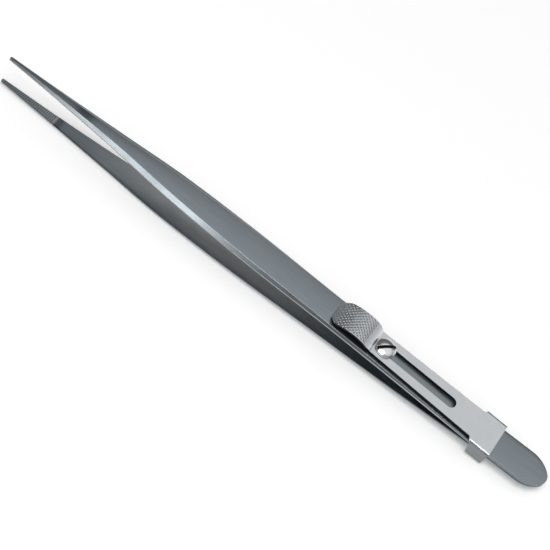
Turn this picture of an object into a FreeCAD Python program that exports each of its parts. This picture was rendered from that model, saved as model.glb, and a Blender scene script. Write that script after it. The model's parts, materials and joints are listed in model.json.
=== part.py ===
"""Locking thumb forceps: two sprung blades welded at the butt, and a sheet slide that locks them.

Every piece is drawn in millimetres. The blades share one frame: its origin is the front of the weld,
on the plane where the two blades meet, -X runs to the tips, +X to the round butt end, and +Z is the
side of the upper blade. The slide and its screw are drawn square to the slide's own flat strip, whose
origin is the underside of the strip at the clip's rear edge. All pieces are then laid down together,
as the forceps rest on a table: on the lower blade's bow and on the rear edge of the clip.
"""
import FreeCAD, Part
import math
import os

import Sketcher

doc = FreeCAD.newDocument("locking_thumb_forceps")
sheet = doc.addObject("Spreadsheet::Sheet", "Sizes")

SIZES = {
    # Blades, along their length.
    "blade_length": 165.8,
    "weld_length": 20.5,
    "bend_length": 45.0,
    "belly_setback": 70.3,
    "shoulder_setback": 50.3,
    "neck_setback": 33.3,
    "jaw_length": 16.8,
    # Blades, across: full width of the inner face.
    "blade_width": 9.2,
    "belly_width": 9.45,
    "shoulder_width": 8.15,
    "neck_width": 5.2,
    "jaw_width": 2.85,
    "tip_width": 1.0,
    # Blades, how far the outer face is set in from the inner face on each side.
    "edge_break": 0.15,
    "grip_bevel": 0.6,
    "belly_bevel": 1.0,
    "shoulder_bevel": 1.3,
    "neck_bevel": 1.15,
    "jaw_bevel": 0.85,
    "tip_bevel": 0.2,
    "edge_land": 0.45,
    # Blades, thickness of the metal.
    "butt_stock": 0.9,
    "belly_stock": 1.15,
    "tip_stock": 0.7,
    # Blades, angle between each inner face and the plane where they meet, in degrees.
    "root_spread": 4.1,
    "grip_spread": 1.85,
    "jaw_spread": 0.0,
    # Where the rigid blades turn about each other, ahead of the weld.
    "pivot_reach": 0.5,
    # Butt end: three arcs, the middle one of this radius.
    "butt_round_length": 6.4,
    "butt_nose_radius": 3.0,
    # Tip: the radius of its end, seen from above.
    "tip_round": 0.62,
    # Teeth across the inner face of each jaw.
    "tooth_pitch": 0.56,
    "tooth_depth": 0.16,
    "tooth_land": 0.11,
    "tooth_run_out": 0.05,
    "tooth_setback": 0.7,
    # Slide, a sheet-metal stamping.
    "sheet_stock": 0.55,
    "slide_rub_gap": 0.45,
    "clip_length": 5.6,
    "clip_setback": 0.3,
    "clip_side_gap": 0.3,
    "clip_play": 2.25,
    "clip_corner": 1.0,
    "ear_slant": 1.0,
    "fold_radius": 0.35,
    "flap_reach": 2.6,
    "strip_rear_width": 8.4,
    "strip_front_width": 7.1,
    "pad_width": 7.9,
    "pad_flare": 1.3,
    "crest_rise": 1.65,
    "arch_front_run": 7.1,
    "arch_rear_run": 4.8,
    "lip_dip": 0.5,
    "pad_corner": 2.4,
    "foot_gap": 0.3,
    # Slot and screw.
    "screw_reach": 35.3,
    "slot_width": 3.0,
    "slot_run": 20.4,
    "shank_radius": 1.4,
    "shank_fit": 0.02,
    "shank_recess": 0.15,
    "head_radius": 2.6,
    "head_height": 1.2,
    "head_dome": 0.6,
    "head_gap": 0.05,
    "driver_width": 0.8,
    "driver_depth": 0.6,
    "driver_turn": -47.0,
}

for row, (alias, value) in enumerate(SIZES.items(), start=1):
    sheet.set(f"A{row}", alias)
    sheet.set(f"B{row}", str(value))
    sheet.setAlias(f"B{row}", alias)
doc.recompute()


def named(expression):
    """Put the sheet's name before each alias in an expression."""
    words = []
    word = ""
    for letter in expression + " ":
        if letter.isalnum() or letter in "_.":
            word += letter
            continue
        words.append(f"Sizes.{word}" if word in SIZES else word)
        words.append(letter)
        word = ""
    return "".join(words).strip()


def number(expression):
    """Work out an expression in the sheet's aliases."""
    return float(sheet.evalExpression(named(expression)))


def bind(feature, path, expression):
    """Tie a property to the sheet."""
    feature.setExpression(path, named(expression))


def origin_plane(body, role):
    """Find one of a body's own origin planes by its role."""
    return next(item for item in body.Origin.OriginFeatures if item.Role == role)


def sketch_on(body, role, name, offset=None, turn=None):
    """Start a sketch on an origin plane, moved along the plane's normal and turned in the plane."""
    sketch = body.newObject("Sketcher::SketchObject", name)
    sketch.AttachmentSupport = [(origin_plane(body, role), "")]
    sketch.MapMode = "FlatFace"
    if offset:
        bind(sketch, "AttachmentOffset.Base.z", offset)
    if turn:
        sketch.AttachmentOffset = FreeCAD.Placement(FreeCAD.Vector(), FreeCAD.Vector(0, 0, 1), 1)
        bind(sketch, "AttachmentOffset.Rotation.Angle", turn)
    return sketch


def pin_point(sketch, edge, end, place):
    """Hold one end of an edge at a place given as two expressions."""
    for kind, axis, expression in (("DistanceX", -2, place[0]), ("DistanceY", -1, place[1])):
        value = number(expression)
        if value == 0:
            sketch.addConstraint(Sketcher.Constraint("PointOnObject", edge, end, axis))
        elif value > 0:
            index = sketch.addConstraint(Sketcher.Constraint(kind, -1, 1, edge, end, value))
            bind(sketch, f"Constraints[{index}]", expression)
        else:
            index = sketch.addConstraint(Sketcher.Constraint(kind, edge, end, -1, 1, -value))
            bind(sketch, f"Constraints[{index}]", f"-({expression})")


def draw_outline(sketch, corners):
    """Draw a closed outline through corners (x, y) or (x, y, radius, side).

    A corner with a radius starts an arc to the next corner, which swells to the left of the way
    there where side is 1, and to the right where it is -1. A half turn stands on an upright chord.
    """
    places = [FreeCAD.Vector(number(corner[0]), number(corner[1]), 0) for corner in corners]
    edges = []
    for index, corner in enumerate(corners):
        begin = places[index]
        finish = places[(index + 1) % len(corners)]
        if len(corner) == 2:
            edge = sketch.addGeometry(Part.LineSegment(begin, finish))
        else:
            radius = number(corner[2])
            chord = finish - begin
            rise = radius - math.sqrt(max(0.0, radius ** 2 - (chord.Length / 2) ** 2))
            left = FreeCAD.Vector(-chord.y, chord.x, 0).normalize()
            crest = (begin + finish) / 2 + left * rise * corner[3]
            edge = sketch.addGeometry(Part.Arc(begin, crest, finish))
        starts_first = sketch.getPoint(edge, 1).distanceToPoint(begin) < 1e-6
        edges.append((edge, 1 if starts_first else 2, 2 if starts_first else 1))
        if len(corner) > 2 and abs(2 * radius - chord.Length) < 1e-6:
            sketch.addConstraint(Sketcher.Constraint("Vertical", edge, 3, edge, edges[-1][1]))
        elif len(corner) > 2:
            held = sketch.addConstraint(Sketcher.Constraint("Radius", edge, radius))
            bind(sketch, f"Constraints[{held}]", corner[2])
    for index, (edge, start, end) in enumerate(edges):
        following, following_start, _ = edges[(index + 1) % len(edges)]
        sketch.addConstraint(Sketcher.Constraint("Coincident", edge, end, following, following_start))
        pin_point(sketch, edge, start, corners[index][:2])


def pad(body, sketch, name, length, reverse=False, both_ways=False):
    """Pad a sketch by a bound length."""
    feature = body.newObject("PartDesign::Pad", name)
    feature.Profile = sketch
    bind(feature, "Length", length)
    feature.Reversed = reverse
    if both_ways:
        feature.SideType = "Symmetric"
    return feature


def cut_through(body, sketch, name):
    """Pocket a sketch right through the body, both ways."""
    feature = body.newObject("PartDesign::Pocket", name)
    feature.Profile = sketch
    feature.Type = "ThroughAll"
    feature.SideType = "Symmetric"
    return feature


# Places along a blade, as distances from the front of the weld towards the tips.
TIP = "(blade_length - weld_length)"
BELLY = f"({TIP} - belly_setback)"
SHOULDER = f"({TIP} - shoulder_setback)"
JAW = f"({TIP} - jaw_length)"
ROOT_SLOPE = "tan(root_spread)"
GRIP_SLOPE = "tan(grip_spread)"
JAW_SLOPE = "tan(jaw_spread)"
SLOPE_LOSS = f"(({ROOT_SLOPE} - {GRIP_SLOPE}) / (2 * bend_length))"
NECK_LOSS = f"(({GRIP_SLOPE} - {JAW_SLOPE}) / (2 * ({JAW} - {SHOULDER})))"


def spread_in_bend(reach):
    """Height of the inner face in the long bend: an arc whose slope eases from root to grip."""
    return f"({ROOT_SLOPE} * ({reach}) - {SLOPE_LOSS} * ({reach}) * ({reach}))"


def spread_at_grip(reach):
    """Height of the inner face between the bend and the shoulder, where it runs straight."""
    return f"({spread_in_bend('bend_length')} + {GRIP_SLOPE} * (({reach}) - bend_length))"


def spread_at_neck(reach):
    """Height of the inner face from shoulder to jaw: an arc whose slope eases to the jaw's."""
    past = f"(({reach}) - {SHOULDER})"
    return f"({spread_at_grip(SHOULDER)} + {GRIP_SLOPE} * {past} - {NECK_LOSS} * {past} * {past})"


def spread_at_jaw(reach):
    """Height of the inner face along the jaw, where it runs straight again."""
    return f"({spread_at_neck(JAW)} + {JAW_SLOPE} * (({reach}) - {JAW}))"


def stock_before_belly(reach):
    """Thickness of the metal between the weld and the belly."""
    return f"(butt_stock + (belly_stock - butt_stock) * ({reach}) / {BELLY})"


def stock_past_belly(reach):
    """Thickness of the metal between the belly and the tip."""
    return f"(belly_stock + (tip_stock - belly_stock) * (({reach}) - {BELLY}) / belly_setback)"


def bend_station(share):
    """One section in the bend, where the bevel grows from a broken edge to the grip's bevel."""
    reach = f"(bend_length * {share})"
    bevel = f"(edge_break + (grip_bevel - edge_break) * {share})"
    first_land = "(butt_stock - edge_break)"
    land = f"({first_land} + (edge_land - {first_land}) * {share})"
    return reach, "blade_width", bevel, land, stock_before_belly(reach), spread_in_bend(reach)


def free_station(setback, width, bevel, spread):
    """One section past the bend, placed by its distance back from the tip."""
    reach = f"({TIP} - {setback})"
    return reach, width, bevel, "edge_land", stock_past_belly(reach), spread(reach)


def blade_stations():
    """All sections of a blade from the weld to the tip."""
    return [bend_station(share) for share in ("0", "(1 / 3)", "(2 / 3)", "1")] + [
        free_station("belly_setback", "belly_width", "belly_bevel", spread_at_grip),
        free_station("shoulder_setback", "shoulder_width", "shoulder_bevel", spread_at_grip),
        free_station("neck_setback", "neck_width", "neck_bevel", spread_at_neck),
        free_station("jaw_length", "jaw_width", "jaw_bevel", spread_at_jaw),
        free_station("0", "tip_width", "tip_bevel", spread_at_jaw),
    ]


def add_butt(body, flip):
    """The flat welded end: one blade's thickness, with a round end and a broken outer edge."""
    half = "blade_width / 2"
    nose = "butt_nose_radius"
    rise = "butt_round_length"
    span = f"(({rise} - {nose}) ^ 2 + ({half}) ^ 2 - {nose} ^ 2)"
    side_radius = f"({span} / (2 * ({half} - {nose})))"
    meet_x = f"(weld_length - {nose} + {nose} * ({rise} - {nose}) / ({side_radius} - {nose}))"
    meet_y = f"({nose} * ({side_radius} - {half}) / ({side_radius} - {nose}))"
    sketch = sketch_on(body, "XY_Plane", "ButtOutline")
    draw_outline(sketch, [
        ("0", f"-{half}"),
        (f"weld_length - {rise}", f"-{half}", side_radius, -1),
        (meet_x, f"-{meet_y}", nose, -1),
        (meet_x, meet_y, side_radius, -1),
        (f"weld_length - {rise}", half),
        ("0", half),
    ])
    butt = pad(body, sketch, "Butt", "butt_stock", reverse=flip < 0)
    doc.recompute()
    outer = flip * number("butt_stock")
    rim = [
        f"Edge{index}"
        for index, edge in enumerate(butt.Shape.Edges, start=1)
        if abs(edge.CenterOfMass.z - outer) < 0.01 and edge.CenterOfMass.x > 0.01
    ]
    chamfer = body.newObject("PartDesign::Chamfer", "ButtEdge")
    chamfer.Base = (butt, rim)
    bind(chamfer, "Size", "edge_break")


def add_free_length(body, flip):
    """The sprung length: a loft through bevelled sections from the weld to the tip."""
    sketches = []
    sign = "" if flip > 0 else "-"
    for index, (reach, width, bevel, land, stock, spread) in enumerate(blade_stations()):
        sketch = sketch_on(body, "YZ_Plane", f"Section{index}", offset=f"-{reach}")
        wide = f"({width} / 2)"
        narrow = f"({width} / 2 - {bevel})"
        inner = f"{sign}({spread})"
        shoulder = f"{sign}({spread} + {land})"
        outer = f"{sign}({spread} + {stock})"
        draw_outline(sketch, [
            (f"-{wide}", inner),
            (wide, inner),
            (wide, shoulder),
            (narrow, outer),
            (f"-{narrow}", outer),
            (f"-{wide}", shoulder),
        ])
        sketches.append(sketch)
    loft = body.newObject("PartDesign::AdditiveLoft", "FreeLength")
    loft.Profile = sketches[0]
    loft.Sections = sketches[1:]


def round_tip(body):
    """Cut the tip's end to a round nose, seen from above."""
    sketch = sketch_on(body, "XY_Plane", "TipOutline")
    centre = f"(tip_round - {TIP})"
    beyond = f"-({TIP} + tip_round)"
    side = "(2 * tip_round)"
    draw_outline(sketch, [
        (beyond, f"-{side}"),
        (centre, f"-{side}"),
        (centre, "-tip_round", "tip_round", 1),
        (centre, "tip_round"),
        (centre, side),
        (beyond, side),
    ])
    cut_through(body, sketch, "TipRound")


def cut_teeth(body, flip):
    """Cross-cut teeth on the jaw's inner face: one groove, repeated back along the face."""
    first = "tooth_setback" if flip > 0 else "tooth_setback + tooth_pitch / 2"
    sketch = sketch_on(body, "XZ_Plane", "Tooth", turn="-jaw_spread" if flip > 0 else "jaw_spread")
    bind(sketch, "AttachmentOffset.Base.x", f"-{TIP} + {first}")
    height = spread_at_jaw(f"({TIP} - {first})")
    bind(sketch, "AttachmentOffset.Base.y", height if flip > 0 else f"-{height}")
    half = "((tooth_pitch - tooth_land) / 2 * (1 + tooth_run_out / tooth_depth))"
    mouth = "-tooth_run_out" if flip > 0 else "tooth_run_out"
    root = "tooth_depth" if flip > 0 else "-tooth_depth"
    draw_outline(sketch, [(f"-{half}", mouth), (half, mouth), ("0", root)])
    groove = cut_through(body, sketch, "Groove")
    teeth = body.newObject("PartDesign::LinearPattern", "Teeth")
    teeth.Originals = [groove]
    teeth.Direction = (sketch, ["H_Axis"])
    teeth.Mode = "Spacing"
    bind(teeth, "Offset", "tooth_pitch")
    bind(teeth, "Occurrences", "floor((jaw_length - tooth_setback) / tooth_pitch)")
    body.Tip = teeth


def drill_for_screw(body):
    """The hole for the guide screw, square to the slide's strip."""
    sketch = body.newObject("Sketcher::SketchObject", "ScrewHole")
    sketch.AttachmentSupport = [(origin_plane(body, "XY_Plane"), "")]
    sketch.MapMode = "FlatFace"
    sketch.AttachmentOffset = strip_place(SCREW_X)
    hole = sketch.addGeometry(Part.Circle(FreeCAD.Vector(), FreeCAD.Vector(0, 0, 1), 1))
    sketch.addConstraint(Sketcher.Constraint("Coincident", hole, 3, -1, 1))
    held = sketch.addConstraint(Sketcher.Constraint("Radius", hole, number("shank_radius")))
    bind(sketch, f"Constraints[{held}]", "shank_radius + shank_fit")
    cut_through(body, sketch, "ScrewBore")


def make_blade(label, flip):
    """One blade: welded butt, sprung length, teeth, and in the upper one the screw's hole."""
    body = doc.addObject("PartDesign::Body", label)
    body.Label = label
    add_butt(body, flip)
    add_free_length(body, flip)
    round_tip(body)
    cut_teeth(body, flip)
    if flip > 0:
        drill_for_screw(body)
    return body


# The slide's strip is a straight line that just clears the bent blade below it. It starts at the
# clip's rear edge, over the weld, and touches the blade where the bend has the strip's own slope.
CLIP_REAR = "(clip_length - clip_setback)"
STOCK_SLOPE = f"((belly_stock - butt_stock) / {BELLY})"


def strip_slope():
    """Slope of the strip against the plane where the blades meet."""
    rear = number(CLIP_REAR)
    loss = number(SLOPE_LOSS)
    start = number(f"{STOCK_SLOPE} + {ROOT_SLOPE}")
    touch = math.sqrt(rear ** 2 + start * rear / loss) - rear
    return start - 2 * loss * touch


def strip_place(along=0.0):
    """Where the strip's own frame lies in the blades' frame, moved along the strip."""
    lean = math.degrees(math.atan(strip_slope()))
    start = FreeCAD.Vector(number(CLIP_REAR), 0, number("butt_stock + slide_rub_gap"))
    base = FreeCAD.Placement(start, FreeCAD.Rotation(FreeCAD.Vector(0, 1, 0), lean))
    return base * FreeCAD.Placement(FreeCAD.Vector(along, 0, 0), FreeCAD.Rotation())


SCREW_X = -number("screw_reach")
ARCH_FOOT = "(screw_reach + head_radius + foot_gap)"
CREST = f"({ARCH_FOOT} + arch_rear_run)"


def make_slide():
    """The slide: an arched pad and slotted strip, and a clip folded round both blades."""
    body = doc.addObject("PartDesign::Body", "lock_slide")
    body.Label = "lock_slide"

    profile = sketch_on(body, "XZ_Plane", "SideProfile")
    drop = "(crest_rise + lip_dip)"
    front = f"((arch_front_run ^ 2 + {drop} ^ 2) / (2 * {drop}))"
    rear = "((arch_rear_run ^ 2 + crest_rise ^ 2) / (2 * crest_rise))"
    foot = ARCH_FOOT
    outer_rear = f"({rear} + sheet_stock)"
    outer_foot = f"({CREST} - sqrt({outer_rear} ^ 2 - ({outer_rear} - crest_rise) ^ 2))"
    lip_x = f"({CREST} + arch_front_run * ({front} + sheet_stock) / {front})"
    lip_z = f"(crest_rise - {front} + ({front} - {drop}) * ({front} + sheet_stock) / {front})"
    draw_outline(profile, [
        ("0", "0"),
        (f"-{foot}", "0", rear, -1),
        (f"-{CREST}", "crest_rise", front, -1),
        (f"-({CREST} + arch_front_run)", "-lip_dip"),
        (f"-{lip_x}", lip_z, f"({front} + sheet_stock)", 1),
        (f"-{CREST}", "crest_rise + sheet_stock", outer_rear, 1),
        (f"-{outer_foot}", "sheet_stock"),
        ("0", "sheet_stock"),
    ])
    pad(body, profile, "Sheet", "strip_rear_width + pad_width", both_ways=True)

    plan = sketch_on(body, "XY_Plane", "PlanOutline")
    nose = f"({CREST} + arch_front_run)"
    beyond = "sheet_stock"
    draw_outline(plan, [
        (beyond, "-(strip_rear_width / 2)"),
        ("-clip_length", "-(strip_rear_width / 2)"),
        (f"-{foot}", "-(strip_front_width / 2)"),
        (f"-({foot} + pad_flare)", "-(pad_width / 2)"),
        (f"-({nose} - pad_corner)", "-(pad_width / 2)", "pad_corner", 1),
        (f"-{nose}", "-(pad_width / 2 - pad_corner)"),
        (f"-{nose}", "pad_width / 2 - pad_corner", "pad_corner", 1),
        (f"-({nose} - pad_corner)", "pad_width / 2"),
        (f"-({foot} + pad_flare)", "pad_width / 2"),
        (f"-{foot}", "strip_front_width / 2"),
        ("-clip_length", "strip_rear_width / 2"),
        (beyond, "strip_rear_width / 2"),
    ])
    waste_end = f"({CREST} + 2 * arch_front_run)"
    waste_side = "(strip_rear_width + pad_width)"
    draw_outline(plan, [
        (f"-{waste_end}", f"-{waste_side}"),
        (f"2 * {beyond}", f"-{waste_side}"),
        (f"2 * {beyond}", waste_side),
        (f"-{waste_end}", waste_side),
    ])
    cut_through(body, plan, "Blanking")

    add_clip(body)

    slot = sketch_on(body, "XY_Plane", "Slot")
    half = "(slot_width / 2)"
    draw_outline(slot, [
        ("-screw_reach", half),
        ("-(screw_reach - slot_run)", half, half, 1),
        ("-(screw_reach - slot_run)", f"-{half}"),
        ("-screw_reach", f"-{half}", half, 1),
    ])
    cut_through(body, slot, "SlotCut")
    return body


def add_clip(body):
    """The clip at the rear: two ears and two flaps folded from the sheet, with trimmed front corners."""
    inner = "(blade_width / 2 + clip_side_gap)"
    outer = f"({inner} + sheet_stock)"
    bend = f"({inner} - fold_radius)"
    deep = "(2 * butt_stock + clip_play)"
    bend_out = "(fold_radius + sheet_stock)"
    flap = f"({outer} - flap_reach)"
    section = sketch_on(body, "YZ_Plane", "ClipSection")
    draw_outline(section, [
        (f"-{bend}", "sheet_stock"),
        (bend, "sheet_stock", bend_out, 1),
        (outer, "-fold_radius"),
        (outer, f"-({deep} - fold_radius)", bend_out, 1),
        (bend, f"-({deep} + sheet_stock)"),
        (flap, f"-({deep} + sheet_stock)"),
        (flap, f"-{deep}"),
        (bend, f"-{deep}", "fold_radius", -1),
        (inner, f"-({deep} - fold_radius)"),
        (inner, "-fold_radius", "fold_radius", -1),
        (bend, "0"),
        (f"-{bend}", "0", "fold_radius", -1),
        (f"-{inner}", "-fold_radius"),
        (f"-{inner}", f"-({deep} - fold_radius)", "fold_radius", -1),
        (f"-{bend}", f"-{deep}"),
        (f"-{flap}", f"-{deep}"),
        (f"-{flap}", f"-({deep} + sheet_stock)"),
        (f"-{bend}", f"-({deep} + sheet_stock)", bend_out, 1),
        (f"-{outer}", f"-({deep} - fold_radius)"),
        (f"-{outer}", "-fold_radius", bend_out, 1),
    ])
    pad(body, section, "Clip", "clip_length + clip_corner", reverse=True)

    waste = "clip_corner"
    ahead = f"-(clip_length + clip_corner + {waste})"
    corners = sketch_on(body, "XY_Plane", "FrontCorners")
    for side in ("", "-"):
        draw_outline(corners, [
            (ahead, f"{side}(strip_rear_width / 2)"),
            ("-(clip_length + clip_corner)", f"{side}(strip_rear_width / 2)"),
            ("-clip_length", f"{side}{outer}"),
            ("-clip_length", f"{side}({outer} + {waste})"),
            (ahead, f"{side}({outer} + {waste})"),
        ])
    cut_through(body, corners, "CornerCut")

    ears = sketch_on(body, "XZ_Plane", "EarFront")
    draw_outline(ears, [
        (ahead, "0"),
        ("-clip_length", "0"),
        ("-(clip_length - ear_slant)", f"-({deep} + sheet_stock)"),
        ("-(clip_length - ear_slant)", f"-({deep} + sheet_stock + {waste})"),
        (ahead, f"-({deep} + sheet_stock + {waste})"),
    ])
    cut_through(body, ears, "EarCut")


def make_screw():
    """The guide screw: a domed, slotted head over the strip and a shank through slot and blade."""
    body = doc.addObject("PartDesign::Body", "guide_screw")
    body.Label = "guide_screw"
    place = strip_place(SCREW_X)
    depth = place.Base.z - number(spread_in_bend(f"(-({place.Base.x}))")) - number("shank_recess")
    seat = "(sheet_stock + head_gap)"
    top = f"({seat} + head_height)"
    profile = sketch_on(body, "XZ_Plane", "ScrewProfile")
    dome = "((head_radius ^ 2 + head_dome ^ 2) / (2 * head_dome))"
    draw_outline(profile, [
        ("0", f"-{depth}"),
        ("shank_radius", f"-{depth}"),
        ("shank_radius", seat),
        ("head_radius", seat),
        ("head_radius", f"{top} - head_dome", dome, -1),
        ("0", top),
    ])
    turned = body.newObject("PartDesign::Revolution", "Turned")
    turned.Profile = profile
    turned.ReferenceAxis = (profile, ["V_Axis"])
    turned.Angle = 360
    kerf = sketch_on(body, "XZ_Plane", "DriverKerf")
    draw_outline(kerf, [
        ("-(driver_width / 2)", f"{top} - driver_depth"),
        ("driver_width / 2", f"{top} - driver_depth"),
        ("driver_width / 2", f"{top} + driver_depth"),
        ("-(driver_width / 2)", f"{top} + driver_depth"),
    ])
    cut_through(body, kerf, "DriverSlot")
    return body


MESH_TOLERANCE = 0.01
upper = make_blade("upper_blade", 1)
lower = make_blade("lower_blade", -1)
slide = make_slide()
screw = make_screw()
doc.recompute()


def rest_place():
    """Lay the forceps on a table: on the lower blade's bow and the rear edge of the clip's flaps."""
    clip = strip_place().multVec(FreeCAD.Vector(0, 0, -number("2 * butt_stock + clip_play + sheet_stock")))
    outline = [point for blade in (upper, lower) for point in blade.Shape.tessellate(MESH_TOLERANCE)[0]]
    lean = max(
        math.degrees(math.atan2(clip.z - point.z, clip.x - point.x))
        for point in outline
        if point.x < clip.x
    )
    turn = FreeCAD.Placement(FreeCAD.Vector(), FreeCAD.Rotation(FreeCAD.Vector(0, 1, 0), lean))
    places = [turn.multVec(point).x for point in outline]
    middle = (min(places) + max(places)) / 2
    return FreeCAD.Placement(FreeCAD.Vector(-middle, 0, -turn.multVec(clip).z), turn.Rotation)


rest = rest_place()
upper.Placement = rest
lower.Placement = rest
slide.Placement = rest * strip_place()
spin = FreeCAD.Placement(
    FreeCAD.Vector(), FreeCAD.Rotation(FreeCAD.Vector(0, 0, 1), number("driver_turn"))
)
screw.Placement = rest * strip_place(SCREW_X) * spin
doc.recompute()

pieces = [upper, lower, slide, screw]
failed = [item.Name for item in doc.Objects if "Invalid" in item.State or "Error" in item.State]
if failed:
    raise RuntimeError(f"features failed: {failed}")
for piece in pieces:
    if piece.Shape.isNull() or not piece.Shape.isValid() or len(piece.Shape.Solids) != 1:
        raise RuntimeError(f"{piece.Label} is not one valid solid")

pivot = rest.multVec(FreeCAD.Vector(-number("pivot_reach"), 0, 0))
travel = slide.Placement.Rotation.multVec(FreeCAD.Vector(-1, 0, 0))
print("hinge pivot", pivot)
print("slide travel direction", travel)

os.makedirs("parts", exist_ok=True)
for piece in pieces:
    box = piece.Shape.BoundBox
    print(piece.Label, f"{piece.Shape.Volume:.1f} mm3, z {box.ZMin:.3f} to {box.ZMax:.3f}")
    piece.Shape.exportStep(f"parts/{piece.Label}.step")
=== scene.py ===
"""Looks of the locking thumb forceps: satin blades, a bright sheet slide and its guide screw."""

import json
import math

import bmesh
import bpy
import numpy as np
from mathutils import Matrix, Vector


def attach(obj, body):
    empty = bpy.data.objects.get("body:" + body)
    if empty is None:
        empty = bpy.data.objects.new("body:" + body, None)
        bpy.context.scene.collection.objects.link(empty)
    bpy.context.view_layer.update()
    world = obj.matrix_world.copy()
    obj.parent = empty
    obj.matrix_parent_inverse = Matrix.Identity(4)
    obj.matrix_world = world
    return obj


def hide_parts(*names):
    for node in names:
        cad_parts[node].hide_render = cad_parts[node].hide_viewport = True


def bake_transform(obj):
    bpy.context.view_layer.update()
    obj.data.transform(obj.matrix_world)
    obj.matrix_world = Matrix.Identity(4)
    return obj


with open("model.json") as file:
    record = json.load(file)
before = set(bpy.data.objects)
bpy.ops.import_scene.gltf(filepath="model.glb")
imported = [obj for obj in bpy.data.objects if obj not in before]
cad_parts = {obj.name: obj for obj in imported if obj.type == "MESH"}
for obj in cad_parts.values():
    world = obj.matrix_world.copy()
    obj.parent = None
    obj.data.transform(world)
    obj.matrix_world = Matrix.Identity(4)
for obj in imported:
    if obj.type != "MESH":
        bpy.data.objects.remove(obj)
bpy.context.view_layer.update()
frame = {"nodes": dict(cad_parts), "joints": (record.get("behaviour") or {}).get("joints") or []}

MM = 0.001

# Sizes are in millimetres up to the stage. A reach is a distance along the blades from the front of the
# weld, positive towards the tips.

# Blades, along their length.
BLADE_LENGTH = 165.8
WELD_LENGTH = 20.5
TIP_REACH = BLADE_LENGTH - WELD_LENGTH
BEND_LENGTH = 45.0
BELLY_REACH = TIP_REACH - 70.3
SHOULDER_REACH = TIP_REACH - 50.3
NECK_REACH = TIP_REACH - 33.3
JAW_LENGTH = 16.8
JAW_REACH = TIP_REACH - JAW_LENGTH
BUTT_ROUND_LENGTH = 6.4
BUTT_NOSE_RADIUS = 3.0
TIP_ROUND = 0.62
PIVOT_REACH = 0.5

# Slopes of a blade's inner face against the plane where the blades meet.
ROOT_SLOPE = math.tan(math.radians(4.1))
GRIP_SLOPE = math.tan(math.radians(1.85))
SLOPE_LOSS = (ROOT_SLOPE - GRIP_SLOPE) / (2 * BEND_LENGTH)
NECK_LOSS = GRIP_SLOPE / (2 * (JAW_REACH - SHOULDER_REACH))

# Sections of a blade: reach, full width, bevel on each side, height of the square edge.
SECTIONS = np.array([
    (0.0, 9.2, 0.15, 0.75),
    (15.0, 9.2, 0.3, 0.65),
    (30.0, 9.2, 0.45, 0.55),
    (BEND_LENGTH, 9.2, 0.6, 0.45),
    (BELLY_REACH, 9.45, 1.0, 0.45),
    (SHOULDER_REACH, 8.15, 1.3, 0.45),
    (NECK_REACH, 5.2, 1.15, 0.45),
    (JAW_REACH, 2.85, 0.85, 0.45),
    (TIP_REACH, 1.0, 0.2, 0.45),
])
BUTT_STOCK = 0.9
BELLY_STOCK = 1.15
TIP_STOCK = 0.7

# The dressed skin: how far it lies inside the solid, the crown of the outer face at the belly, the
# least half width and edge height, and the largest share of a half width that a bevel may take.
SKIN_INSET = 0.01
CROWN = 0.12
LEAST_HALF_WIDTH = 0.04
LEAST_EDGE = 0.05
MOST_BEVEL = 0.45

# Teeth across the inner face of each jaw.
TOOTH_PITCH = 0.56
TOOTH_DEPTH = 0.16
TOOTH_LAND = 0.11
TOOTH_SETBACK = 0.7

# How many stations each stretch of a blade gets, the small gaps between the stretches, and the
# decimals that a station's reach is rounded to.
BUTT_STATIONS = 28
WELD_STATIONS = 12
FREE_STATIONS = 120
STATIONS_PER_TOOTH = 8
TIP_STATIONS = 14
WELD_GAP = 0.2
JAW_GAP = 0.5
REACH_DIGITS = 4

# Softened corners of a section, in the order near inner, far inner, far edge, far outer, near outer,
# near edge: how far each reaches along its sides, the most of a side that it may take, and its points.
CORNER_CUTS = (0.07, 0.07, 0.07, 0.05, 0.05, 0.07)
MOST_CUT = 0.4
CORNER_POINTS = 5
# A length that is small enough to count as none, and keeps a division from failing.
TINY = 1e-9

# Where the points lie on each side of a section, as shares of its straight stretch between the
# corner curves, starting with the inner face.
WIDE_RUN = (0.02, 0.06, 0.16, 0.33, 0.5, 0.67, 0.84, 0.94, 0.98)
BEVEL_RUN = (0.06, 0.5, 0.94)
LAND_RUN = (0.5,)
SIDE_RUNS = (WIDE_RUN, LAND_RUN, BEVEL_RUN, WIDE_RUN, BEVEL_RUN, LAND_RUN)

# Which of those corners and sides are rubbed bright in use and carry a painted highlight, 1 for these,
# how bright the rub and the painted highlight make each blade, and the reach where it is full: from
# there it fades to nothing at the weld. On the upper blade's edges it is partly a painted reflection
# of the bright floor, and the lower blade gets none.
RUB_HIGHLIGHT_CORNERS = (1, 1, 1, 0, 0, 1)
RUB_HIGHLIGHT_SIDES = (0, 1, 0, 0, 0, 1)
UPPER_RUB_HIGHLIGHT = 0.4
LOWER_RUB_HIGHLIGHT = 0.0
FULL_RUB_HIGHLIGHT_REACH = BEND_LENGTH / 4

# Heights that tell the faces of a section apart: how far up the inner face reaches, and how far below
# their lowest corners the outer face and the bevels start.
INNER_SKIN = 0.1
OUTER_SKIN = 0.001
BEVEL_SKIN = 0.01

# How much darker the whole tip is than the jaw's start, and the painted shade of the rims: a dark line
# painted along the far rim of each outer face and the near rim of each inner face, from this share of
# the half width on.
TIP_DARKENING = 0.15
PAINTED_RIM_START = 0.8
PAINTED_RIM_SHADE = 0.8

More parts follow.
